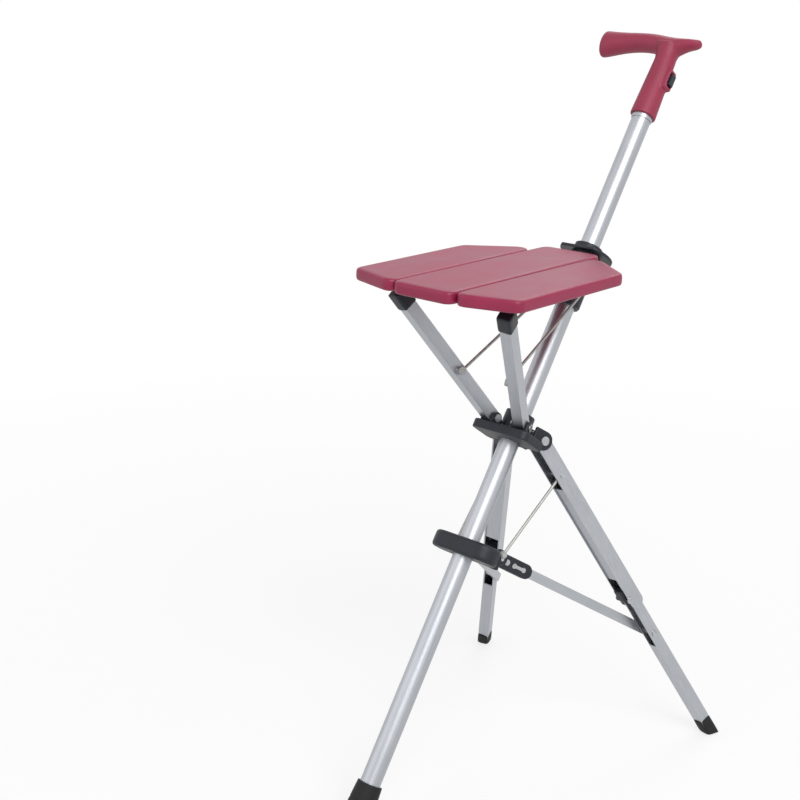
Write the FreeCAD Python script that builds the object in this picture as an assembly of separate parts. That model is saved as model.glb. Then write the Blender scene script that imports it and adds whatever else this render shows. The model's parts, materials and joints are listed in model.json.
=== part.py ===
import FreeCAD, Part
import math
import os

os.makedirs("parts", exist_ok=True)

V = FreeCAD.Vector

# Stick
lean = 34.2
tubeOuter = 20.0
tubeWall = 1.3
tubeStart = 18.0
handleAt = 773.0
tipLength = 46.0
tipBottom = 31.0
tipTop = 24.5
gripLength = 80.0
gripWidth = 23.0
gripHeight = 20.0
gripDroop = 2.0
beakLength = 33.0
endRound = 2.0
beakRise = 5.0
stemHeight = 79.0
stemBottom = 27.0
stemNeck = 21.0
tubeInHandle = 40.0
bumpReach = 3.0
bumpLong = 22.0
buttonLong = 14.0
buttonWidth = 9.0
buttonRise = 2.5
bandLength = 4.0
bandWall = 0.8

# Seat
seatTop = 516.6
seatFront = 86.2
seatRear = 322.3
wingRear = 300.0
boardHalf = 34.3
wingReach = 95.0
wingFrontCorner = 104.6
wingSideCorner = 264.8
wingRearCorner = 50.0
boardThick = 12.0
grooveGap = 1.0
seatCorner = 9.0
seatEdge = 2.0
pocketDepth = 6.0
ribWall = 3.0
seatPinDrop = 6.0
seatPinRadius = 2.5
seatPinSide = -22.5
knuckleWide = 5.0
knuckleRadius = 5.0
lugWide = 16.0
hingeRadius = 2.2
groovePinRadius = 0.9
leafWide = 5.0

# Sliding pieces on the tube
runGap = 0.1
pieceGap = 0.3
collarOuter = 29.0
collarRise = 36.0
collarDrop = 30.0
flangeWide = 55.0
flangeDeep = 40.0
flangeThick = 3.0
flangeRise = 26.0
collarTravel = 58.4
hubAt = 424.0
hubHeight = 30.0
hubOuter = 30.0
hubFront = -28.0
hubRear = 12.0
hubHalf = 33.0
hubBase = 9.0
earRound = 9.6
strutEarRound = 6.0
ringAt = 296.0
ringHeight = 17.0
ringWide = 73.0
ringDeep = 34.0

# Struts under the seat
strutSide = 18.0
strutFront = -18.5
shoeFront = 131.4
shoeSide = 62.1
shoeDrop = 12.0
strutWide = 11.0
strutDeep = 13.0
strutWall = 1.4
shoeLength = 15.0
shoeWall = 1.6
strutPinRadius = 2.5
wireOnStrut = 66.0
wireRadius = 1.5
wirePinRadius = 1.3
studRise = 1.6
wireCollarRise = 8.0
wireCollarSide = 18.5
wireCollarRear = -4.0

# Rear legs
legSide = 20.0
legRear = 14.0
legPivotDrop = 3.0
footRear = 408.5
footSide = 153.7
upperLength = 202.0
legWide = 18.0
legDeep = 16.0
legWall = 1.4
lowerWide = 12.6
lowerDeep = 12.0
kneeOffset = 6.5
webStart = 14.0
webEnd = 26.0
kneePinRadius = 2.0
legPinRadius = 2.5
legEnd = 8.0
footLength = 24.0
footWide = 14.6
footDeep = 15.0
footPlug = 14.0
rodOnLeg = 43.6
rodRadius = 1.5
rodPinRadius = 1.5
linkOnLower = 52.0
linkWide = 9.5
linkThick = 3.0
linkPinRadius = 1.8
armLength = 45.0
armWide = 15.0
armThick = 8.0
ringLinkZ = 300.0
ringRodZ = 304.0
linkAcross = -9.0
lugInner = -4.7
lugOuter = 3.2
rodAcross = 5.0
rodOut = 10.0
earThick = 3.4

tilt = math.radians(lean)
up = V(0, 0, 1)
tubeRadius = tubeOuter / 2
bore = tubeRadius + runGap / 2


# Cane coordinates: Z runs up the tube, X to its rear, the tube meets the floor at zero
def toCane(p):
    x = p.x * math.cos(tilt) - p.z * math.sin(tilt)
    z = p.x * math.sin(tilt) + p.z * math.cos(tilt)
    return V(x, p.y, z)


def unit(v):
    return V(v).normalize()


# Local frame of a bar: Z along it, X across it on its hinge axis
def barPlace(origin, along, across):
    z = unit(along)
    x = unit(across - z * across.dot(z))
    y = z.cross(x)
    m = FreeCAD.Matrix(
        x.x, y.x, z.x, origin.x,
        x.y, y.y, z.y, origin.y,
        x.z, y.z, z.z, origin.z,
        0, 0, 0, 1)
    return FreeCAD.Placement(m)


def placed(shape, place):
    copy = shape.copy()
    copy.Placement = place.multiply(copy.Placement)
    return copy


def block(x0, x1, y0, y1, z0, z1):
    return Part.makeBox(x1 - x0, y1 - y0, z1 - z0, V(x0, y0, z0))


def rod(start, end, radius):
    way = end - start
    return Part.makeCylinder(radius, way.Length, start, way)


def pinAt(centre, axis, radius, half):
    a = unit(axis)
    return Part.makeCylinder(radius, 2 * half, centre - a * half, a)


# A rivet with a low head at both ends
def rivetAt(centre, axis, radius, half, head, headRadius):
    a = unit(axis)
    body = pinAt(centre, a, radius, half + head)
    for sign in (-1, 1):
        body = body.fuse(Part.makeCylinder(headRadius, head, centre + a * (sign * half), a * sign))
    return body.removeSplitter()


# A square channel, open on local +Y, with a rounded end at zero
def channel(length, wide, deep, wall, back):
    outer = block(-wide / 2, wide / 2, -deep / 2, deep / 2, 0, length)
    nose = Part.makeCylinder(back, wide, V(-wide / 2, 0, 0), V(1, 0, 0))
    outer = outer.fuse(nose).removeSplitter()
    inner = block(-wide / 2 + wall, wide / 2 - wall, -deep / 2 + wall, deep, -back - 1, length + 1)
    return outer.cut(inner)


def squareTube(length, wide, deep, wall):
    outer = block(-wide / 2, wide / 2, -deep / 2, deep / 2, 0, length)
    inner = block(-wide / 2 + wall, wide / 2 - wall, -deep / 2 + wall, deep / 2 - wall, -1, length + 1)
    return outer.cut(inner)


def filletEdges(shape, radius, keep):
    edges = [e for e in shape.Edges if keep(e)]
    return shape.makeFillet(radius, edges)


def upright(edge):
    a = edge.Vertexes[0].Point
    b = edge.Vertexes[-1].Point
    return abs(a.z - b.z) > 1.0


# Key points in cane coordinates
seatPin = V(seatPinSide, 0, (seatTop - boardThick - seatPinDrop + seatPinSide * math.sin(tilt)) / math.cos(tilt))


def strutPivot(side):
    return V(strutFront, side * strutSide, hubAt)


def strutTop(side):
    return toCane(V(shoeFront, side * shoeSide, seatTop - boardThick - shoeDrop))


def legPivot(side):
    return V(legRear, side * legSide, hubAt - legPivotDrop)


def footPoint(side):
    return toCane(V(footRear, side * footSide, 0))


def strutAlong(side):
    return unit(strutTop(side) - strutPivot(side))


def legAlong(side):
    return unit(footPoint(side) - legPivot(side))


def strutAcross(side):
    return unit(strutAlong(side).cross(up))


def legAcross(side):
    return unit(legAlong(side).cross(up))


def legPlace(side):
    return barPlace(legPivot(side), legAlong(side), legAcross(side))


def strutPlace(side):
    return barPlace(strutPivot(side), strutAlong(side), strutAcross(side))


# Only the near side is drawn, at negative Y, and the far side is its mirror image
near = -1
legLength = (footPoint(near) - legPivot(near)).Length
strutLength = (strutTop(near) - strutPivot(near)).Length
lowerLength = legLength - upperLength
parts = {}
paired = {}


def mirrored(shape):
    return shape.mirror(V(0, 0, 0), V(0, 1, 0))


def fuseBoth(body, shape):
    return body.fuse(shape).fuse(mirrored(shape))


def cutBoth(body, shape):
    return body.cut(shape).cut(mirrored(shape))


# Main tube with its rubber tip
tube = Part.makeCylinder(tubeRadius, handleAt + tubeInHandle - tubeStart, V(0, 0, tubeStart))
tube = tube.cut(Part.makeCylinder(tubeRadius - tubeWall, handleAt + tubeInHandle, V(0, 0, tubeStart - 1)))
parts["main_tube"] = tube

tipEdge = tipBottom / 2 * math.tan(tilt)
tip = Part.makeCone(tipBottom / 2, tipTop / 2, tipLength, V(0, 0, tipEdge))
for i in range(2):
    grooveZ = tipEdge + tipLength * (0.62 + 0.16 * i)
    tip = tip.cut(Part.makeTorus(tipTop / 2 + 2.2, 1.3, V(0, 0, grooveZ)))
tip = tip.cut(Part.makeCylinder(tubeRadius, tipLength + 20, V(0, 0, tubeStart)))
parts["rubber_tip"] = tip

# Handle: a stem on the tube, a grip to one side and a short beak to the other
stemTop = handleAt + stemHeight
stem = Part.makeCone(stemBottom / 2, stemNeck / 2, stemHeight, V(0, 0, handleAt))


def ovalWire(centre, normal, wide, high):
    n = unit(normal)
    e = Part.Ellipse(V(0, 0, 0), max(wide, high) / 2, min(wide, high) / 2)
    w = Part.Wire([e.toShape()])
    long = V(1, 0, 0)
    rise = n.cross(long)
    first = long if wide >= high else rise
    second = n.cross(first)
    m = FreeCAD.Matrix(
        first.x, second.x, n.x, centre.x,
        first.y, second.y, n.y, centre.y,
        first.z, second.z, n.z, centre.z,
        0, 0, 0, 1)
    w.Placement = FreeCAD.Placement(m)
    return w


droop = math.radians(gripDroop)
gripMid = stemTop + gripHeight / 2 - 6
gripSections = []
for share, wide, high, lift in (
        (1.0, 0.98, 1.50, 0.02),
        (0.90, 1.02, 1.38, 0.04),
        (0.68, 0.98, 1.10, 0.12),
        (0.40, 0.94, 0.98, 0.16),
        (0.12, 0.92, 1.08, 0.0),
        (0.0, 0.92, 1.16, -0.12)):
    reach = gripLength * share
    centre = V(0, reach * math.cos(droop), gripMid - reach * math.sin(droop) + lift * gripHeight)
    gripSections.append(ovalWire(centre, V(0, 1, 0), gripWidth * wide, gripHeight * high))
for share, wide, high in ((0.45, 0.78, 0.74), (0.80, 0.60, 0.50), (1.0, 0.40, 0.32)):
    centre = V(0, -beakLength * share, gripMid + beakRise * share * share)
    gripSections.append(ovalWire(centre, V(0, 1, 0), gripWidth * wide, gripHeight * high))
grip = Part.makeLoft(gripSections, True, False)
grip = filletEdges(grip, endRound, lambda e: e.BoundBox.YLength < 0.1)
shoulder = Part.makeLoft([
    Part.Wire([Part.makeCircle(stemNeck / 2, V(0, 0, stemTop - 18))]),
    Part.Wire([Part.makeCircle(stemNeck / 2 + 1.5, V(0, 1, stemTop - 6))]),
    Part.Wire([Part.makeCircle(stemNeck / 2 + 4.0, V(0, 2, stemTop + 3))])], True, False)
handle = stem.fuse(shoulder).fuse(grip)
handle = handle.cut(Part.makeCylinder(tubeRadius, tubeInHandle, V(0, 0, handleAt)))
bumpAt = handleAt + stemHeight * 0.55
bumpSide = -(stemBottom / 2 + bumpReach)
bump = block(-buttonWidth / 2 - 2, buttonWidth / 2 + 2, bumpSide, -tubeRadius - 1, bumpAt - bumpLong / 2,
             bumpAt + bumpLong / 2)
bump = filletEdges(bump, 2.5, lambda e: e.BoundBox.YMax < bumpSide + 0.1 or e.BoundBox.YLength > 1)
handle = handle.fuse(bump)
button = block(-buttonWidth / 2, buttonWidth / 2, bumpSide - buttonRise, bumpSide + 3,
               bumpAt - buttonLong / 2, bumpAt + buttonLong / 2)
buttonPocket = block(-buttonWidth / 2 - 0.25, buttonWidth / 2 + 0.25, bumpSide - buttonRise - 1,
                     bumpSide + 3 + buttonRise, bumpAt - buttonLong / 2 - 0.25, bumpAt + buttonLong / 2 + 0.25)
handle = handle.cut(buttonPocket)
button = filletEdges(button, 1.2, lambda e: e.BoundBox.YMax < bumpSide - buttonRise + 0.1)
parts["handle_grip"] = handle
parts["handle_button"] = button

band = Part.makeCylinder(tubeRadius + bandWall, bandLength, V(0, 0, handleAt - bandLength))
parts["handle_band"] = band.cut(Part.makeCylinder(tubeRadius, bandLength, V(0, 0, handleAt - bandLength)))

legGap = legWide / 2 + pieceGap

# Collar: a long sleeve with a thin flange, a lug for the seat pin and side ears for the wires
collarZ = seatPin.z
collar = Part.makeCylinder(collarOuter / 2, collarRise + collarDrop, V(0, 0, collarZ - collarDrop))
flangePlate = Part.makeCylinder(flangeWide / 2, flangeThick, V(0, 0, collarZ + flangeRise))
flangePlate = flangePlate.common(block(-flangeDeep / 2, flangeDeep / 2, -flangeWide, flangeWide,
                                       collarZ, collarZ + collarRise))
lug = block(seatPinSide, 0, -lugWide / 2, lugWide / 2, collarZ - knuckleRadius, collarZ + knuckleRadius)
lug = lug.fuse(pinAt(seatPin, V(0, 1, 0), knuckleRadius, lugWide / 2))
collar = collar.fuse(lug)


def wireTop(side):
    return V(wireCollarRear, side * wireCollarSide, collarZ - wireCollarRise)


wireEarSide = wireCollarSide - wireRadius - pieceGap
ear = block(wireCollarRear - 6, wireCollarRear + 6, -wireEarSide, 0,
            collarZ - wireCollarRise - 6, collarZ - wireCollarRise + 6)
collar = fuseBoth(collar, ear)
collar = collar.cut(Part.makeCylinder(bore, 200, V(0, 0, collarZ - 100)))
collar = collar.cut(pinAt(seatPin, V(0, 1, 0), seatPinRadius + 0.05, 60))
flangePlate = flangePlate.cut(Part.makeCylinder(collarOuter / 2, 60, V(0, 0, collarZ)))
legSlot = block(-legGap, legGap, -legDeep / 2 - 1, 30, 0, upperLength + 6 + legDeep / 2 + 1 - collarTravel)
legSlot = placed(legSlot, barPlace(legPivot(near), up, legAcross(near)))
collar = cutBoth(collar, legSlot)
parts["collar_body"] = collar.removeSplitter()
parts["collar_flange"] = flangePlate
wirePin = rod(V(wireCollarRear, near * (tubeRadius + 2), wireTop(near).z),
              V(wireCollarRear, near * (wireCollarSide + wireRadius + 1.2), wireTop(near).z), wirePinRadius)
parts["collar_body"] = cutBoth(parts["collar_body"], wirePin)
paired["wire_pin"] = wirePin

# Seat boards, modelled level and then turned into cane coordinates
levelTurn = FreeCAD.Placement(V(0, 0, 0), FreeCAD.Rotation(V(0, 1, 0), -lean))


def plate(points, low, high):
    wire = Part.makePolygon([V(x, y, low) for x, y in points] + [V(points[0][0], points[0][1], low)])
    return Part.Face(wire).extrude(V(0, 0, high - low))


def softened(shape):
    body = filletEdges(shape, seatCorner, upright)
    topEdges = [e for e in body.Edges if e.BoundBox.ZMin > seatTop - 0.01]
    return body.makeFillet(seatEdge, topEdges)


seatLow = seatTop - boardThick
seatPinX = seatPin.x * math.cos(tilt) + seatPin.z * math.sin(tilt)
seatPinZ = seatTop - boardThick - seatPinDrop


def pocketRow(x0, x1, y0, y1, count):
    cuts = []
    step = (x1 - x0 + ribWall) / count
    for i in range(count):
        start = x0 + i * step
        cuts.append(block(start, start + step - ribWall, y0, y1, seatLow - 1, seatLow + pocketDepth))
    return Part.makeCompound(cuts)


inner = boardHalf - grooveGap / 2
board = plate([(seatFront, -inner), (seatRear, -inner), (seatRear, inner), (seatFront, inner)], seatLow, seatTop)
board = softened(board)
pocketEnd = seatPinX - knuckleRadius - 14
board = board.cut(pocketRow(seatFront + 9, pocketEnd, -inner + 5, -ribWall / 2, 5))
board = board.cut(pocketRow(seatFront + 9, pocketEnd, ribWall / 2, inner - 5, 5))
pinPoint = V(seatPinX, 0, seatPinZ)
knuckleIn = lugWide / 2 + pieceGap
for side in (-1, 1):
    y0 = min(side * knuckleIn, side * (knuckleIn + knuckleWide))
    knuckle = block(seatPinX - knuckleRadius, seatPinX + knuckleRadius, y0, y0 + knuckleWide, seatPinZ, seatLow)
    knuckle = knuckle.fuse(Part.makeCylinder(knuckleRadius, knuckleWide, V(seatPinX, y0, seatPinZ), V(0, 1, 0)))
    board = board.fuse(knuckle)
board = board.cut(pinAt(pinPoint, V(0, 1, 0), seatPinRadius, 60))
parts["seat_centre_board"] = placed(board.removeSplitter(), levelTurn)
pinHalf = knuckleIn + knuckleWide
seatPinShape = pinAt(pinPoint, V(0, 1, 0), seatPinRadius, pinHalf)
for side in (-1, 1):
    seatPinShape = seatPinShape.fuse(Part.makeCylinder(seatPinRadius + 1.5, 1.2, V(seatPinX, side * pinHalf, seatPinZ),
                                                       V(0, side, 0)))
parts["seat_hinge_pin"] = placed(seatPinShape.removeSplitter(), levelTurn)

wingInner = boardHalf + grooveGap / 2
wingPoints = [(seatFront, wingInner), (wingFrontCorner, wingReach), (wingSideCorner, wingReach),
              (wingRear, wingRearCorner), (wingRear, wingInner)]
hingeZ = seatLow - hingeRadius


wing = softened(plate(wingPoints, seatLow, seatTop))
wing = wing.cut(pocketRow(wingFrontCorner + 4, wingSideCorner - 8, wingInner + 5, shoeSide - 14, 5))
paired["seat_wing"] = mirrored(placed(wing, levelTurn))

# Hinge barrels under the two grooves, alternately on the board and on the wing
barrelCount = 6
barrelStart = seatFront + 30
barrelEnd = wingRear - 30
barrelStep = (barrelEnd - barrelStart) / barrelCount
onBoard = []
onWing = []
for i in range(barrelCount):
    x0 = barrelStart + i * barrelStep + pieceGap / 2
    length = barrelStep - pieceGap
    centre = V(x0, -boardHalf, hingeZ)
    barrel = Part.makeCylinder(hingeRadius, length, centre, V(1, 0, 0))
    inward = 1 if i % 2 == 0 else -1
    foot = block(x0, x0 + length, -boardHalf - leafWide, -boardHalf, hingeZ, seatLow)
    if inward > 0:
        foot = foot.mirror(V(0, -boardHalf, 0), V(0, 1, 0))
    barrel = barrel.fuse(foot)
    bore0 = groovePinRadius if inward > 0 else groovePinRadius + 0.05
    barrel = barrel.cut(Part.makeCylinder(bore0, length, centre, V(1, 0, 0)))
    (onBoard if inward > 0 else onWing).append(placed(barrel.removeSplitter(), levelTurn))
paired["groove_barrels"] = Part.makeCompound(onBoard)
paired["wing_barrels"] = Part.makeCompound(onWing)
groovePin = Part.makeCylinder(groovePinRadius, barrelEnd - barrelStart, V(barrelStart, -boardHalf, hingeZ), V(1, 0, 0))
paired["groove_pin"] = placed(groovePin, levelTurn)

# Hub: a sleeve with forks for the struts at the front and the legs at the rear
hubLow = hubAt - hubHeight / 2
hub = Part.makeCylinder(hubOuter / 2, hubHeight, V(0, 0, hubLow))
strutGap = strutWide / 2 + pieceGap
base = block(hubFront, hubRear, -hubHalf, hubHalf, hubLow, hubLow + hubBase)
base = filletEdges(base, 8, upright)
hub = hub.fuse(base)
strutFork = barPlace(strutPivot(near), up, strutAcross(near))
legFork = barPlace(legPivot(near), up, legAcross(near))
for sign in (-1, 1):
    x0 = min(sign * strutGap, sign * (strutGap + earThick))
    cheek = block(x0, x0 + earThick, -14, strutEarRound, hubLow - hubAt, 0)
    cheek = cheek.fuse(Part.makeCylinder(strutEarRound, earThick, V(x0, 0, 0), V(1, 0, 0)))
    hub = fuseBoth(hub, placed(cheek, strutFork))
    x0 = min(sign * legGap, sign * (legGap + earThick))
    cheek = block(x0, x0 + earThick, -14, 0, hubLow - hubAt + legPivotDrop, earRound)
    cheek = cheek.fuse(Part.makeCylinder(earRound, earThick, V(x0, 0, 0), V(1, 0, 0)))
    hub = fuseBoth(hub, placed(cheek, legFork))
swing = Part.makeCylinder(strutDeep / 2 + 1.5, 2 * strutGap, V(-strutGap, 0, 0), V(1, 0, 0))
hub = cutBoth(hub, placed(swing, strutFork))
swing = Part.makeCylinder(legEnd + 0.5, 2 * legGap, V(-legGap, 0, 0), V(1, 0, 0))
hub = cutBoth(hub, placed(swing, legFork))
folded = block(-legGap, legGap, -legDeep / 2 - pieceGap, 30, 0, 400)
hub = cutBoth(hub, placed(folded, legFork))
opened = block(-legGap, legGap, -legDeep / 2 - pieceGap, legDeep / 2 + pieceGap, 0, 60)
hub = cutBoth(hub, placed(opened, legPlace(near)))
hub = hub.cut(Part.makeCylinder(bore, 200, V(0, 0, hubAt - 100)))
strutRivet = rivetAt(strutPivot(near), strutAcross(near), strutPinRadius, strutGap + earThick, 1.0, 4)
legRivet = rivetAt(legPivot(near), legAcross(near), legPinRadius, legGap + earThick, 1.2, 4.5)
clearTube = Part.makeCylinder(tubeRadius + pieceGap, 200, V(0, 0, hubAt - 100))
strutRivet = strutRivet.cut(clearTube)
legRivet = legRivet.cut(clearTube)
hub = cutBoth(cutBoth(hub, strutRivet), legRivet)
parts["hub_body"] = hub.removeSplitter()
parts["hub_rivets"] = Part.makeCompound([strutRivet, mirrored(strutRivet), legRivet, mirrored(legRivet)])

# Struts with a black shoe at the top that carries the wing
for side in (near,):
    place = strutPlace(side)
    body = squareTube(strutLength - 6, strutWide, strutDeep, strutWall)
    nose = Part.makeCylinder(strutDeep / 2, strutWide, V(-strutWide / 2, 0, 0), V(1, 0, 0))
    body = body.fuse(nose.cut(block(-strutWide, strutWide, -strutDeep, strutDeep, 0, strutDeep))).removeSplitter()
    pinHole = Part.makeCylinder(strutPinRadius + 0.05, strutWide * 2, V(-strutWide, 0, 0), V(1, 0, 0))
    body = body.cut(pinHole)
    paired["strut"] = placed(body, place)
    shoeWide = strutWide + 2 * shoeWall
    shoeDeep = strutDeep + 2 * shoeWall
    shoe = block(-shoeWide / 2, shoeWide / 2, -shoeDeep / 2, shoeDeep / 2, strutLength - shoeLength, strutLength + 5)
    shoe = placed(shoe, place)
    underside = block(-400, 600, -300, 300, seatLow - pieceGap - 0.1, seatLow + 60)
    shoe = shoe.cut(placed(underside, levelTurn))
    shoe = shoe.cut(placed(block(-strutWide / 2, strutWide / 2, -strutDeep / 2, strutDeep / 2,
                                 strutLength - 40, strutLength - 6), place))
    paired["strut_shoe"] = shoe.removeSplitter()

# Wires from the collar to the struts, each with an eye at its ends
for side in (near,):
    onStrut = strutPivot(side) + strutAlong(side) * wireOnStrut
    inward = strutAcross(side)
    if inward.y * side > 0:
        inward = inward * -1
    low = onStrut + inward * (strutWide / 2 + studRise + pieceGap + wireRadius)
    high = wireTop(side)
    wire = rod(low, high, wireRadius)
    lowEye = pinAt(low, inward, 4.0, wireRadius - 0.2)
    highEye = pinAt(high, V(0, 1, 0), 4.0, wireRadius - 0.2)
    wire = wire.fuse(lowEye).fuse(highEye)
    wire = wire.cut(pinAt(high, V(0, 1, 0), wirePinRadius + 0.05, 10))
    paired["seat_wire"] = wire.removeSplitter()
    paired["wire_stud"] = rod(onStrut + inward * (strutWide / 2),
                              onStrut + inward * (strutWide / 2 + studRise), 4.0)

# Rear legs: an upper channel, a lower channel that folds into it and a rubber foot
for side in (near,):
    place = legPlace(side)
    upper = channel(upperLength + 6, legWide, legDeep, legWall, legEnd)
    legRound = Part.makeCylinder(legDeep / 2, legWide, V(-legWide / 2, 0, upperLength + 6), V(1, 0, 0))
    upper = upper.fuse(legRound.cut(block(-legWide / 2 + legWall, legWide / 2 - legWall, -30, 30, 0, 400)))
    webTop = 2 * kneeOffset - lowerDeep / 2 - pieceGap
    upper = upper.fuse(block(-legWide / 2, legWide / 2, webTop - legWall, webTop,
                             rodOnLeg + webStart, upperLength - webEnd))
    upper = upper.cut(pinAt(V(0, 0, 0), V(1, 0, 0), legPinRadius + 0.05, 30))
    kneePoint = V(0, kneeOffset, upperLength)
    upper = upper.cut(pinAt(kneePoint, V(1, 0, 0), kneePinRadius, 30))
    rodPoint = V(0, 0, rodOnLeg)
    upper = upper.cut(pinAt(rodPoint, V(1, 0, 0), rodPinRadius, 30))
    paired["leg_upper"] = placed(upper.removeSplitter(), place)
    kneePin = rivetAt(kneePoint, V(1, 0, 0), kneePinRadius, legWide / 2, 1.0, 3.6)
    legHalf = legWide / 2
    outerStub = rod(V(rodAcross + rodRadius + 0.2, 0, rodOnLeg), V(legHalf + 0.8, 0, rodOnLeg), rodPinRadius)
    outerStub = outerStub.fuse(rod(V(legHalf, 0, rodOnLeg), V(legHalf + 0.8, 0, rodOnLeg), 2.8))
    innerStub = rod(V(-legHalf - 0.8, 0, rodOnLeg), V(rodAcross - rodRadius - 0.2, 0, rodOnLeg), rodPinRadius)
    innerStub = innerStub.fuse(rod(V(-legHalf - 0.8, 0, rodOnLeg), V(-legHalf, 0, rodOnLeg), 2.8))
    rivets = [kneePin, outerStub.removeSplitter(), innerStub.removeSplitter()]
    paired["leg_rivets"] = placed(Part.makeCompound(rivets), place)

    lower = squareTube(lowerLength - footPlug, lowerWide, lowerDeep, legWall)
    lower = lower.cut(block(-lowerWide / 2 + legWall, lowerWide / 2 - legWall, 0, lowerDeep, -1, linkOnLower + 14))
    lower.translate(V(0, 0, upperLength))
    lower = lower.cut(pinAt(kneePoint, V(1, 0, 0), kneePinRadius + 0.1, 30))
    paired["leg_lower"] = lower

    block0 = block(-lowerWide / 2, lowerWide / 2, -lowerDeep / 2, kneeOffset + 4, upperLength - 12, upperLength)
    block0 = block0.fuse(Part.makeCylinder(4, lowerWide, V(-lowerWide / 2, kneeOffset, upperLength), V(1, 0, 0)))
    block0 = block0.common(pinAt(kneePoint, V(1, 0, 0), kneeOffset + lowerDeep / 2 + 0.2, lowerWide))
    block0 = block0.cut(pinAt(kneePoint, V(1, 0, 0), kneePinRadius + 0.05, 30))
    paired["knee_block"] = block0.cut(lower)

    footStart = upperLength + lowerLength - footLength
    shell = block(-footWide / 2, footWide / 2, -footDeep / 2, footDeep / 2, footStart, upperLength + lowerLength + 30)
    shell = shell.cut(block(-lowerWide / 2, lowerWide / 2, -lowerDeep / 2, lowerDeep / 2,
                            footStart - 1, upperLength + lowerLength - footPlug))
    paired["leg_foot"] = shell
    for key in ("leg_lower", "knee_block", "leg_foot"):
        paired[key] = placed(paired[key], place)
    linkPoint = V(0, 0, upperLength + linkOnLower)
    linkPin = rivetAt(linkPoint, V(1, 0, 0), linkPinRadius, lowerWide / 2, 1.0, 3.2)
    paired["link_rivet"] = placed(linkPin, place)
    paired["leg_lower"] = paired["leg_lower"].cut(paired["link_rivet"])

# Ring with its link arms, flat link bars and thin rods to the legs
ringLow = ringAt - ringHeight / 2
half = ringWide / 2 - ringDeep / 2
ring = block(-ringDeep / 2, ringDeep / 2, -half, half, ringLow, ringLow + ringHeight)
for side in (-1, 1):
    ring = ring.fuse(Part.makeCylinder(ringDeep / 2, ringHeight, V(0, side * half, ringLow)))
ring = ring.removeSplitter()
ring = filletEdges(ring, 2.5, lambda e: not upright(e))

# A point in the plane of a rear leg when it is folded: across, outward and up from its pivot axis
def besideLeg(side, across, outward, z):
    a = legAcross(side)
    out = up.cross(a)
    return V(legRear, side * legSide, 0) + a * across + out * outward + up * z


linkOut = 2 * kneeOffset
for side in (near,):
    place = barPlace(besideLeg(side, 0, 0, 0), up, legAcross(side))
    lug = block(lugInner, lugOuter, -22, linkOut, ringLow, ringLow + ringHeight)
    lug = lug.fuse(pinAt(V((lugInner + lugOuter) / 2, linkOut, ringLinkZ), V(1, 0, 0), 6.5, (lugOuter - lugInner) / 2))
    lug = lug.fuse(pinAt(V((lugInner + lugOuter) / 2, rodOut, ringRodZ), V(1, 0, 0), 5.0, (lugOuter - lugInner) / 2))
    ring = fuseBoth(ring, placed(lug, place))
ring = ring.cut(Part.makeCylinder(bore, 60, V(0, 0, ringLow - 20)))

for side in (near,):
    across = legAcross(side)
    start = besideLeg(side, linkAcross, linkOut, ringLinkZ)
    onLeg = legPivot(side) + legAlong(side) * (upperLength + linkOnLower) + across * linkAcross
    length = (onLeg - start).Length
    place = barPlace(start, onLeg - start, across)
    bar = block(-linkThick / 2, linkThick / 2, -linkWide / 2, linkWide / 2, armLength - 10, length)
    bar = bar.fuse(pinAt(V(0, 0, length), V(1, 0, 0), linkWide / 2, linkThick / 2)).removeSplitter()
    paired["link_bar"] = placed(bar, place)
    arm = block(-armThick / 2, armThick / 2, -armWide / 2, armWide / 2, 0, armLength - armWide / 2)
    for z in (0, armLength - armWide / 2):
        arm = arm.fuse(pinAt(V(0, 0, z), V(1, 0, 0), armWide / 2, armThick / 2))
    arm = arm.removeSplitter()
    arm = filletEdges(arm, 1.2, lambda e: e.BoundBox.XLength < 0.01)
    slot = block(-armThick, armThick, -1.5, 1.5, armLength * 0.42, armLength * 0.66)
    arm = arm.cut(slot)
    arm = arm.cut(block(-linkThick / 2, linkThick / 2, -linkWide / 2, linkWide / 2, armLength - 10, length))
    pivot = rivetAt(V(0, 0, 0), V(1, 0, 0), linkPinRadius, armThick / 2, 0.8, 3.0)
    rivet = rivetAt(V(0, 0, armLength * 0.26), V(1, 0, 0), linkPinRadius, armThick / 2, 0.8, 3.0)
    reachIn = armThick / 2 + lugOuter - lugInner
    pivot = pivot.fuse(rod(V(0, 0, 0), V(reachIn, 0, 0), linkPinRadius)).removeSplitter()
    arm = arm.cut(rivet).cut(pinAt(V(0, 0, 0), V(1, 0, 0), linkPinRadius + 0.05, 20))
    pivot = pivot.cut(Part.makeCylinder(3.0, 0.8, V(armThick / 2, 0, 0), V(1, 0, 0)).cut(
        Part.makeCylinder(linkPinRadius, 0.8, V(armThick / 2, 0, 0), V(1, 0, 0))))
    paired["link_arm"] = placed(arm, place)
    paired["arm_rivet"] = placed(rivet, place)
    paired["ring_pivot"] = placed(pivot, place)
    ring = cutBoth(ring, paired["ring_pivot"])

    low = besideLeg(side, rodAcross, rodOut, ringRodZ)
    high = legPivot(side) + legAlong(side) * rodOnLeg + across * rodAcross
    thin = rod(low, high, rodRadius)
    thin = thin.fuse(pinAt(low, across, 3.6, rodRadius - 0.2)).fuse(pinAt(high, across, 3.4, rodRadius - 0.2))
    thin = thin.cut(pinAt(low, across, rodPinRadius + 0.05, 20))
    paired["leg_rod"] = thin.removeSplitter()
    stud = rod(low - across * (rodAcross - lugOuter + 3), low + across * (rodRadius + 0.2), rodPinRadius)
    stud = stud.fuse(rod(low + across * (rodRadius + 0.2), low + across * (rodRadius + 1.2), 2.8)).removeSplitter()
    paired["rod_stud"] = stud
    ring = cutBoth(ring, stud)
parts["ring_body"] = ring.removeSplitter()

for name in paired:
    parts[name + "_near"] = paired[name]
    parts[name + "_far"] = mirrored(paired[name])

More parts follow.
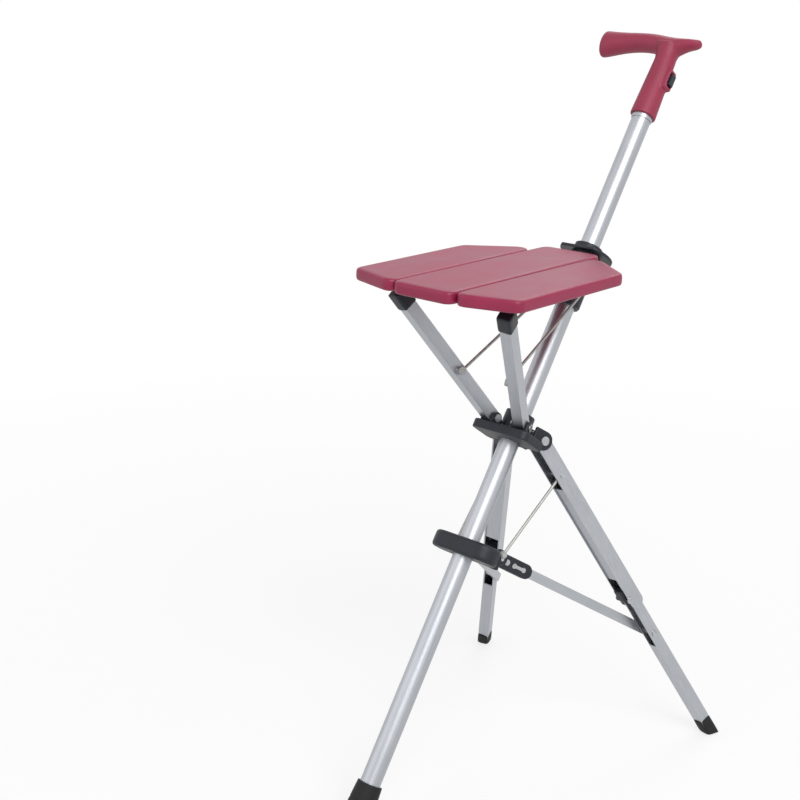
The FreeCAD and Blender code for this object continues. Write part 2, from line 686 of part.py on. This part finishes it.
# The foot is cut level where it stands and every piece is turned upright
lean3 = FreeCAD.Placement(V(0, 0, 0), FreeCAD.Rotation(V(0, 1, 0), lean))
floorBlock = block(-900, 900, -600, 600, -300, 0)
for name in list(parts):
    parts[name] = placed(parts[name], lean3)
for name in ("leg_foot_near", "leg_foot_far"):
    parts[name] = parts[name].cut(floorBlock)

# Origin at the centre of the footprint, on the floor
whole = Part.makeCompound(list(parts.values()))
box = whole.BoundBox
shift = V(-(box.XMin + box.XMax) / 2, -(box.YMin + box.YMax) / 2, -box.ZMin)
for name in sorted(parts):
    shape = parts[name]
    shape.translate(shift)
    shape.exportStep(os.path.join("parts", name + ".step"))
    print(name, len(shape.Solids), round(shape.Volume, 1), shape.isValid())
box.move(shift)
print("box", [round(v, 2) for v in (box.XMin, box.YMin, box.ZMin, box.XMax, box.YMax, box.ZMax)])
print("shift", round(shift.x, 3), round(shift.y, 3), round(shift.z, 3))
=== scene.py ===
import json
import math

import bmesh
import bpy
from mathutils import Matrix, Vector

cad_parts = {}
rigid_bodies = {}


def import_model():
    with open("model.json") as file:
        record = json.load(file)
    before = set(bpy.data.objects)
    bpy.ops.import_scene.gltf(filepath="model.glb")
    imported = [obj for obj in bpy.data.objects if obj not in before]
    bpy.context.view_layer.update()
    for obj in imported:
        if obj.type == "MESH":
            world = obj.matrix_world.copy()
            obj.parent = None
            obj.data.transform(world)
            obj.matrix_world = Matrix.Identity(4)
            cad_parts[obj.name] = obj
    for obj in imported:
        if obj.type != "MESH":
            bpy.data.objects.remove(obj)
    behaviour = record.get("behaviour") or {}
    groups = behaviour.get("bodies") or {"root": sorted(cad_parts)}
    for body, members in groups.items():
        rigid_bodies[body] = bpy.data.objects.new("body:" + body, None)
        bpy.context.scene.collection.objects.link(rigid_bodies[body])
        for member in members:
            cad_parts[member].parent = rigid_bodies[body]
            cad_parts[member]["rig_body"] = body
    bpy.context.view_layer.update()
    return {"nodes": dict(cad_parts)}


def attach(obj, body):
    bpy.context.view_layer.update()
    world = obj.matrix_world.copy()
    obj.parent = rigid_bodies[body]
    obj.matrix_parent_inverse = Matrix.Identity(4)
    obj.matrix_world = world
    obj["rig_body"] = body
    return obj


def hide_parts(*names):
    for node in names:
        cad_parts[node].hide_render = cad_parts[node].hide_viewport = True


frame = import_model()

nodes = frame["nodes"]
scene = bpy.context.scene

# camera at the photograph's place
cameraPlace = {
    "position": (-1.0660, -0.7615, 0.7843),
    "forward": (0.7234, 0.6222, -0.2990),
    "roll": 1.2,
    "lens": 62.7,
    "sensor": 36,
}
lensData = bpy.data.cameras.new("camera")
lensData.lens = cameraPlace["lens"]
lensData.sensor_width = cameraPlace["sensor"]
lensData.clip_start = 0.05
camera = bpy.data.objects.new("camera", lensData)
scene.collection.objects.link(camera)
forward = Vector(cameraPlace["forward"]).normalized()
level = forward.cross(Vector((0, 0, 1))).normalized()
roll = math.radians(cameraPlace["roll"])
right = level * math.cos(roll) + level.cross(forward) * math.sin(roll)
upward = right.cross(forward)
camera.matrix_world = Matrix.Translation(cameraPlace["position"]) @ Matrix(
    (right, upward, -forward)
).transposed().to_4x4()
scene.camera = camera
scene.view_settings.view_transform = "Standard"
print("camera set")


class Sock:
    # one output socket, so that sums are written as plain expressions
    def __init__(self, finish, socket):
        self.finish = finish
        self.socket = socket

    def math(self, operation, first, second):
        return self.finish.math(operation, first, second)

    def __add__(self, other):
        return self.math("ADD", self, other)

    def __mul__(self, other):
        return self.math("MULTIPLY", self, other)

    __radd__ = __add__
    __rmul__ = __mul__


class Finish:
    # one material and the nodes in it
    def __init__(self, name):
        self.material = bpy.data.materials.new(name)
        self.material.use_nodes = True
        self.tree = self.material.node_tree
        self.shader = self.tree.nodes["Principled BSDF"]

    def add(self, kind, settings=None, values=None, output=0):
        node = self.tree.nodes.new(kind)
        for key, value in (settings or {}).items():
            setattr(node, key, value)
        for key, value in (values or {}).items():
            self.put(node.inputs[key], value)
        return Sock(self, node.outputs[output])

    def math(self, operation, first, second):
        return self.add("ShaderNodeMath", {"operation": operation}, {0: first, 1: second})

    def put(self, socket, value):
        if isinstance(value, Sock):
            self.tree.links.new(value.socket, socket)
        else:
            socket.default_value = value

    def surface(self, **values):
        for key, value in values.items():
            self.put(self.shader.inputs[key.replace("_", " ")], value)

    def place(self):
        return self.add("ShaderNodeTexCoord", output=3)

    def stretched(self, along, fine, coarse):
        # coordinates that change fast across a direction and slowly along it
        turn = Vector(along).to_track_quat("Z", "Y").inverted().to_euler()
        turned = self.add("ShaderNodeMapping", values={0: self.place(), 2: turn})
        return self.add(
            "ShaderNodeVectorMath", {"operation": "MULTIPLY"}, {0: turned, 1: (fine, fine, coarse)}
        )

    def noise(self, where, scale, detail=3.0, rough=0.5):
        values = {"Vector": where, "Scale": scale, "Detail": detail, "Roughness": rough}
        return self.add("ShaderNodeTexNoise", values=values)

    def span(self, value, low, high, start=0.35, end=0.65):
        return self.add("ShaderNodeMapRange", values={0: value, 1: start, 2: end, 3: low, 4: high})

    def blend(self, amount, first, second):
        settings = {"data_type": "RGBA"}
        return self.add("ShaderNodeMix", settings, {0: amount, 6: (*first, 1), 7: (*second, 1)}, output=2)

    def bump(self, height, strength, distance):
        values = {"Strength": strength, "Distance": distance, "Height": height}
        normal = self.add("ShaderNodeBump", values=values)
        self.put(self.shader.inputs["Normal"], normal)


# moulded plastic with a fine spark-eroded grain
crimsonPlastic = {
    "tone": (0.300, 0.022, 0.062),
    "deep": (0.262, 0.018, 0.052),
    "rough": (0.40, 0.50),
    "gloss": 0.5,
    "cloud": 28.0,
    "grain": 1900.0,
    "grainDepth": 0.00006,
    "strength": 0.35,
}


def moulded(name, values):
    finish = Finish(name)
    where = finish.place()
    cloud = finish.noise(where, values["cloud"])
    grain = finish.noise(where, values["grain"], 2.0)
    finish.surface(
        Base_Color=finish.blend(finish.span(cloud, 0.0, 1.0), values["deep"], values["tone"]),
        Roughness=finish.span(cloud * 0.6 + grain * 0.4, *values["rough"]),
        Specular_IOR_Level=values["gloss"],
    )
    finish.bump(grain, values["strength"], values["grainDepth"])
    return finish.material


crimson = moulded("crimsonMoulding", crimsonPlastic)

# the handle is a shade darker and duller
gripRubber = dict(
    crimsonPlastic, tone=(0.275, 0.020, 0.058), deep=(0.240, 0.016, 0.048), rough=(0.48, 0.58)
)
crimsonGrip = moulded("crimsonGrip", gripRubber)

# the seat boards have a smoother, slightly bluer skin, and a darker tone that is painted shade, holding
# back the strong light on their tops
seatBoardsWithPaintedShade = dict(
    crimsonPlastic,
    tone=(0.272, 0.014, 0.059),
    deep=(0.236, 0.011, 0.050),
    rough=(0.36, 0.44),
    gloss=0.40,
)
crimsonSeatWithPaintedShade = moulded("crimsonSeatWithPaintedShade", seatBoardsWithPaintedShade)

blackPlastic = {
    "tone": (0.015, 0.018, 0.026),
    "deep": (0.010, 0.012, 0.018),
    "rough": (0.40, 0.52),
    "gloss": 0.34,
    "cloud": 60.0,
    "grain": 1600.0,
    "grainDepth": 0.00005,
    "strength": 0.35,
}
black = moulded("blackMoulding", blackPlastic)

blackRubber = dict(
    blackPlastic, tone=(0.010, 0.010, 0.010), deep=(0.006, 0.006, 0.006), rough=(0.62, 0.78), strength=0.6
)
rubber = moulded("blackRubber", blackRubber)
print("plastics made")

# satin anodised tube, drawn along its length
drawnTube = {
    "tone": (0.47, 0.485, 0.515),
    "deep": (0.40, 0.415, 0.445),
    "rough": (0.36, 0.46),
    "fine": 900.0,
    "coarse": 6.0,
    "cloud": 22.0,
    "depth": 0.00002,
    "strength": 0.25,
}


def drawn(name, along, values=drawnTube):
    finish = Finish(name)
    lines = finish.noise(finish.stretched(along, values["fine"], values["coarse"]), 1.0, 4.0)
    cloud = finish.noise(finish.place(), values["cloud"])
    mixed = finish.span(lines * 0.7 + cloud * 0.3, 0.0, 1.0)
    finish.surface(
        Base_Color=finish.blend(mixed, values["deep"], values["tone"]),
        Roughness=finish.span(lines * 0.5 + cloud * 0.5, *values["rough"]),
        Metallic=1.0,
    )
    finish.bump(lines, values["strength"], values["depth"])
    return finish.material


def directionOf(node):
    # line from a slender node's lowest point to its highest
    points = [v.co.copy() for v in nodes[node].data.vertices]
    low = min(points, key=lambda p: (round(p.z, 4), p.x))
    high = max(points, key=lambda p: (round(p.z, 4), p.x))
    return (high - low).normalized()


platedSteel = {
    "tone": (0.50, 0.505, 0.515),
    "deep": (0.40, 0.405, 0.415),
    "rough": (0.28, 0.40),
    "cloud": 240.0,
    "grain": 2600.0,
    "grainDepth": 0.00002,
    "strength": 0.2,
}


def plated(name, values):
    finish = Finish(name)
    where = finish.place()
    cloud = finish.noise(where, values["cloud"])
    finish.surface(
        Base_Color=finish.blend(finish.span(cloud, 0.0, 1.0), values["deep"], values["tone"]),
        Roughness=finish.span(cloud, *values["rough"]),
        Metallic=1.0,
    )
    finish.bump(finish.noise(where, values["grain"], 2.0), values["strength"], values["grainDepth"])
    return finish.material


steel = plated("platedSteel", platedSteel)
dullWire = dict(
    platedSteel, tone=(0.47, 0.465, 0.45), deep=(0.38, 0.375, 0.36), rough=(0.52, 0.62)
)
wire = plated("dullWire", dullWire)
print("metals made")


def dress(name, material):
    data = nodes[name].data
    data.materials.clear()
    data.materials.append(material)


def sides(name):
    return [name + "_near", name + "_far"] if name + "_near" in nodes else [name]


# which finish each family of nodes wears
looks = {
    "crimson": (crimson, ["groove_barrels", "wing_barrels"]),
    "seat": (crimsonSeatWithPaintedShade, ["seat_centre_board", "seat_wing"]),
    "grip": (crimsonGrip, ["handle_grip"]),
    "black": (
        black,
        [
            "handle_button", "collar_body", "collar_flange", "hub_body", "ring_body",
            "knee_block", "link_arm", "strut_shoe",
        ],
    ),
    "rubber": (rubber, ["rubber_tip", "leg_foot"]),
    "wire": (wire, ["leg_rod", "seat_wire"]),
    "steel": (
        steel,
        [
            "seat_hinge_pin", "hub_rivets", "groove_pin", "arm_rivet", "leg_rivets",
            "link_rivet", "ring_pivot", "rod_stud", "wire_pin", "wire_stud",
        ],
    ),
}
for material, names in looks.values():
    for base in names:
        for name in sides(base):
            dress(name, material)
for base in ("main_tube", "handle_band", "strut", "leg_upper", "leg_lower", "link_bar"):
    for name in sides(base):
        dress(name, drawn("drawn_" + name, directionOf(name)))
print("nodes dressed")

# moulded pieces with softer corners than their solids: slot, voxel size, rounds of smoothing,
# and how much the skin is drawn in
mouldedPieces = {
    "seat_centre_board": ("crimson", 0.0012, 26),
    "seat_wing": ("crimson", 0.0012, 26),
    "handle_grip": ("crimson", 0.0010, 6),
    "handle_button": ("black", 0.0005, 12, 0.0008),
    "collar_body": ("black", 0.0008, 4),
    "collar_flange": ("black", 0.0006, 5),
    "hub_body": ("black", 0.0007, 12),
    "ring_body": ("black", 0.0009, 30),
    "strut_shoe": ("black", 0.0006, 90),
    "knee_block": ("black", 0.0006, 30),
    "link_arm": ("black", 0.0006, 4),
    "leg_foot": ("rubber", 0.0008, 150),
}


def rounded(name, slot, voxel, rounds, thinner=0.0):
    source = nodes[name]
    piece = bpy.data.objects.new("soft_" + name, source.data.copy())
    scene.collection.objects.link(piece)
    skin = piece.modifiers.new("skin", "REMESH")
    skin.mode = "VOXEL"
    skin.voxel_size = voxel
    ease = piece.modifiers.new("ease", "SMOOTH")
    ease.factor = 0.5
    ease.iterations = rounds
    pull = piece.modifiers.new("pull", "DISPLACE")
    pull.strength = -thinner
    pull.mid_level = 0.0
    made = bpy.data.meshes.new_from_object(piece.evaluated_get(bpy.context.evaluated_depsgraph_get()))
    piece.modifiers.clear()
    piece.data = made
    made.materials.clear()
    made.materials.append(source.data.materials[0])
    for face in made.polygons:
        face.use_smooth = True
    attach(piece, source["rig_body"])
    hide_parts(name)


for base, shaping in mouldedPieces.items():
    for name in sides(base):
        rounded(name, *shaping)
print("moulded pieces rounded")

# pale metal key let into the outer face of each link arm: two discs joined by a bar
armKey = {
    "armStart": (-0.0511, -0.01664, 0.23157),
    "along": (0.76245, -0.38159, -0.52256),
    "out": (-0.31561, -0.92433, 0.21449),
    "faceOut": 0.0040,
    "discs": (0.0215, 0.0335),
    "discRadius": 0.0027,
    "barHalf": 0.0017,
    "proud": 0.0003,
    "sunk": 0.0006,
    "topWidth": 0.93,
    "topShortening": 0.3,
    "steps": 40,
}


def keyOutline(values):
    # outline of two discs and their bar, in the plane of the arm's face
    first, second = values["discs"]
    radius, half = values["discRadius"], values["barHalf"]
    waist = math.asin(half / radius)
    count = values["steps"]
    points = []
    for middle, facing in ((second, 0.0), (first, math.pi)):
        for step in range(count + 1):
            angle = facing + (math.pi - waist) * (2 * step / count - 1)
            points.append((middle + radius * math.cos(angle), radius * math.sin(angle)))
    return points


def armKeyPiece(side, mirror):
    along, out = Vector(armKey["along"]), Vector(armKey["out"])
    cross = out.cross(along).normalized()
    start = Vector(armKey["armStart"])
    shape = bmesh.new()
    rings = []
    centre = sum(armKey["discs"]) / 2
    for lift, shrink in ((-armKey["sunk"], 1.0), (0.0, 1.0), (armKey["proud"], armKey["topWidth"])):
        ring = []
        for reach, aside in keyOutline(armKey):
            longer = 1 - (1 - shrink) * armKey["topShortening"]
            point = start + along * (centre + (reach - centre) * longer)
            point += cross * aside * shrink + out * (armKey["faceOut"] + lift)
            ring.append(shape.verts.new((point.x, point.y * mirror, point.z)))
        rings.append(ring)
    count = len(rings[0])
    for lower, upper in zip(rings, rings[1:]):
        for i in range(count):
            k = (i + 1) % count
            shape.faces.new((lower[i], lower[k], upper[k], upper[i]))
    shape.faces.new(rings[-1])
    shape.faces.new(rings[0][::-1])
    bmesh.ops.recalc_face_normals(shape, faces=shape.faces)
    mesh = bpy.data.meshes.new("arm_key_" + side)
    shape.to_mesh(mesh)
    shape.free()
    mesh.materials.append(steel)
    piece = bpy.data.objects.new("arm_key_" + side, mesh)
    scene.collection.objects.link(piece)
    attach(piece, "link_" + side)


armKeyPiece("near", 1)
armKeyPiece("far", -1)
print("arm keys made")

# floor, light and backdrop
studio = {
    "floorSize": 12,
    "floorTone": (0.86, 0.86, 0.86),
    "floorRough": 0.9,
    "floorGlow": 0.74,
    "clearFrom": 0.35,
    "clearTo": 1.5,
    "keySize": 1.6,
    "keyPower": 50.0,
    "keyPlace": (-1.1, -1.7, 2.2),
    "fillSize": 2.2,
    "fillPower": 9.0,
    "fillPlace": (-2.0, 1.2, 1.5),
    "backSize": 1.4,
    "backPower": 12.0,
    "backPlace": (1.6, 0.4, 1.9),
    "worldLight": 0.50,
}
lampTarget = Vector((0, 0, 0.38))


def areaLamp(name, place, size, power):
    data = bpy.data.lights.new(name, "AREA")
    data.size = size
    data.energy = power
    lamp = bpy.data.objects.new(name, data)
    lamp.location = place
    lamp.rotation_euler = (lampTarget - Vector(place)).to_track_quat("-Z", "Y").to_euler()
    scene.collection.objects.link(lamp)


for lamp in ("key", "fill", "back"):
    areaLamp(lamp + "Lamp", studio[lamp + "Place"], studio[lamp + "Size"], studio[lamp + "Power"])

floorMesh = bpy.data.meshes.new("floor")
floorShape = bmesh.new()
bmesh.ops.create_grid(floorShape, x_segments=1, y_segments=1, size=studio["floorSize"])
floorShape.to_mesh(floorMesh)
floorShape.free()
floor = bpy.data.objects.new("floor", floorMesh)
scene.collection.objects.link(floor)


def seenRays(finish):
    # camera, mirror and see-through rays, which show the backdrop
    rays = finish.tree.nodes.new("ShaderNodeLightPath")
    names = ("Is Camera Ray", "Is Glossy Ray", "Is Transmission Ray")
    first, second, third = (Sock(finish, rays.outputs[name]) for name in names)
    return finish.math("MINIMUM", first + second + third, 1.0)


paper = Finish("paper")
paper.surface(Base_Color=(*studio["floorTone"], 1), Roughness=studio["floorRough"])
glow = paper.add("ShaderNodeEmission", values={0: (1, 1, 1, 1), 1: 1.0})
body = Sock(paper, paper.shader.outputs[0])
fromMiddle = paper.add("ShaderNodeVectorMath", {"operation": "LENGTH"}, {0: paper.place()}, output=1)
clearing = paper.span(fromMiddle, studio["floorGlow"], 1.0, studio["clearFrom"], studio["clearTo"])
both = paper.add("ShaderNodeMixShader", values={0: seenRays(paper) * clearing, 1: body, 2: glow})
paper.put(paper.tree.nodes["Material Output"].inputs["Surface"], both)
floorMesh.materials.append(paper.material)


class Sky(Finish):
    # the world as a finish, with its background node as the shader
    def __init__(self, world):
        world.use_nodes = True
        self.tree = world.node_tree
        self.shader = self.tree.nodes["Background"]


world = scene.world or bpy.data.worlds.new("world")
scene.world = world
sky = Sky(world)
lit = studio["worldLight"]
sky.put(sky.shader.inputs[0], (1, 1, 1, 1))
sky.put(sky.shader.inputs[1], seenRays(sky) * (1 - lit) + lit)
print("studio set")
